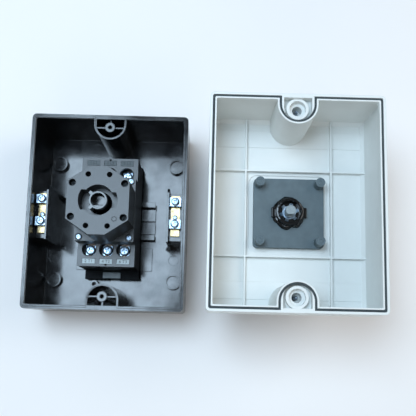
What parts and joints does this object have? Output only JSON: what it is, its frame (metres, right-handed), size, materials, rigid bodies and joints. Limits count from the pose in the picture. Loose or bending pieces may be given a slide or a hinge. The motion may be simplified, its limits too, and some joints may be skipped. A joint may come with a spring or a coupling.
{
  "type": "rotary isolator switch",
  "caption": "Enclosed rotary isolator, opened: deep base box with a front-drive switch, earth and neutral terminals, and a turned-over cover carrying the turning knob and its drive pin.",
  "frame": {"origin": "middle of the four wall fixings, on the back face of the base box", "axes": "+Z out of the wall towards the open front, +Y up the enclosure, +X to the installer's right, where the opened cover lies"},
  "size_m": [0.2834, 0.1656, 0.1134],
  "materials": {
    "black_moulding": "moulded PA, satin",
    "housing_moulding": "moulded thermoset, matt",
    "cover_moulding": "moulded polycarbonate, satin light grey",
    "dark_grey_moulding": "moulded PA, matt dark grey",
    "knob_moulding": "moulded, satin black",
    "escutcheon_moulding": "moulded, satin dark grey",
    "hub_moulding": "greased black moulding",
    "seal_rubber": "EPDM, matt",
    "zinc_plated_steel": "bright zinc plate",
    "blackened_steel": "black oxide finish",
    "grey_pin": "phosphated steel",
    "brass": "drawn brass",
    "contact_copper": "silver-tipped copper alloy",
    "spring_steel": "spring steel",
    "marker_plastic": "pale grey marker plates",
    "latch_moulding": "grey latch moulding"
  },
  "bodies": {
    "base": {"base_box": "black_moulding", "mounting_foot": "black_moulding", "switch_housing": "housing_moulding", "mechanism_housing": "housing_moulding", "octagon_front_block": "housing_moulding", "mechanism_screws": "zinc_plated_steel", "front_block_screws": "blackened_steel", "terminal_screws": "zinc_plated_steel", "terminal_clamps": "zinc_plated_steel", "marker_strip_top": "marker_plastic", "marker_strip_bottom": "marker_plastic", "snap_spring": "spring_steel", "line_contact_1": "contact_copper", "load_contact_1": "contact_copper", "line_contact_2": "contact_copper", "load_contact_2": "contact_copper", "line_contact_3": "contact_copper", "load_contact_3": "contact_copper", "earth_terminal_holder": "black_moulding", "earth_bar": "brass", "earth_clamp_saddles": "zinc_plated_steel", "earth_clamp_screws": "zinc_plated_steel", "earth_fixing_screw": "zinc_plated_steel", "neutral_terminal_holder": "black_moulding", "neutral_bar": "brass", "neutral_clamp_saddles": "zinc_plated_steel", "neutral_clamp_screws": "zinc_plated_steel", "neutral_fixing_screw": "zinc_plated_steel"},
    "rotor": {"rotor_shaft": "spring_steel", "rotor_hub": "black_moulding", "moving_contact_1": "contact_copper", "moving_contact_2": "contact_copper", "moving_contact_3": "contact_copper", "rotor_disc_1": "housing_moulding", "rotor_disc_2": "housing_moulding", "rotor_disc_3": "housing_moulding"},
    "din_latch": {"din_latch": "latch_moulding"},
    "cover": {"cover_shell": "cover_moulding", "cover_gasket": "seal_rubber", "handle_backing_plate": "dark_grey_moulding", "handle_escutcheon": "escutcheon_moulding", "escutcheon_studs": "zinc_plated_steel", "shaft_seal": "seal_rubber"},
    "handle": {"drive_hub": "hub_moulding", "drive_pin": "grey_pin", "coupling_spider": "zinc_plated_steel", "handle_knob": "knob_moulding"},
    "padlock_slider": {"padlock_slider": "dark_grey_moulding"},
    "cover_screw_top": {"cover_screw_top": "zinc_plated_steel", "cover_screw_seal_top": "seal_rubber"},
    "cover_screw_bottom": {"cover_screw_bottom": "zinc_plated_steel", "cover_screw_seal_bottom": "seal_rubber"}
  },
  "joints": [
    {"name": "rotor_turn", "type": "hinge", "parent": "base", "child": "rotor", "pos_m": [0, 0, 0.09], "axis": [0, 0, -1], "range_deg": [0, 90]},
    {"name": "cover_swing", "type": "hinge", "parent": "base", "child": "cover", "pos_m": [0.07535, 0, 0.0866], "axis": [0, -1, 0], "range_deg": [0, 180]},
    {"name": "handle_turn", "type": "hinge", "parent": "cover", "child": "handle", "pos_m": [0.1507, 0, 0.03], "axis": [0, 0, 1], "range_deg": [0, 90]},
    {"name": "padlock_slide", "type": "slide", "parent": "handle", "child": "padlock_slider", "axis": [-1, 0, 0], "range_m": [0, 0.009]},
    {"name": "cover_screw_top_drive", "type": "slide", "parent": "cover", "child": "cover_screw_top", "axis": [0, 0, 1], "range_m": [0, 0.012]},
    {"name": "cover_screw_bottom_drive", "type": "slide", "parent": "cover", "child": "cover_screw_bottom", "axis": [0, 0, 1], "range_m": [0, 0.012]},
    {"name": "din_latch_slide", "type": "slide", "parent": "base", "child": "din_latch", "axis": [0, -1, 0], "range_m": [0, 0.003]}
  ],
  "couplings": [
    {"joint": "rotor_turn", "follows": "handle_turn", "ratio": 1}
  ]
}
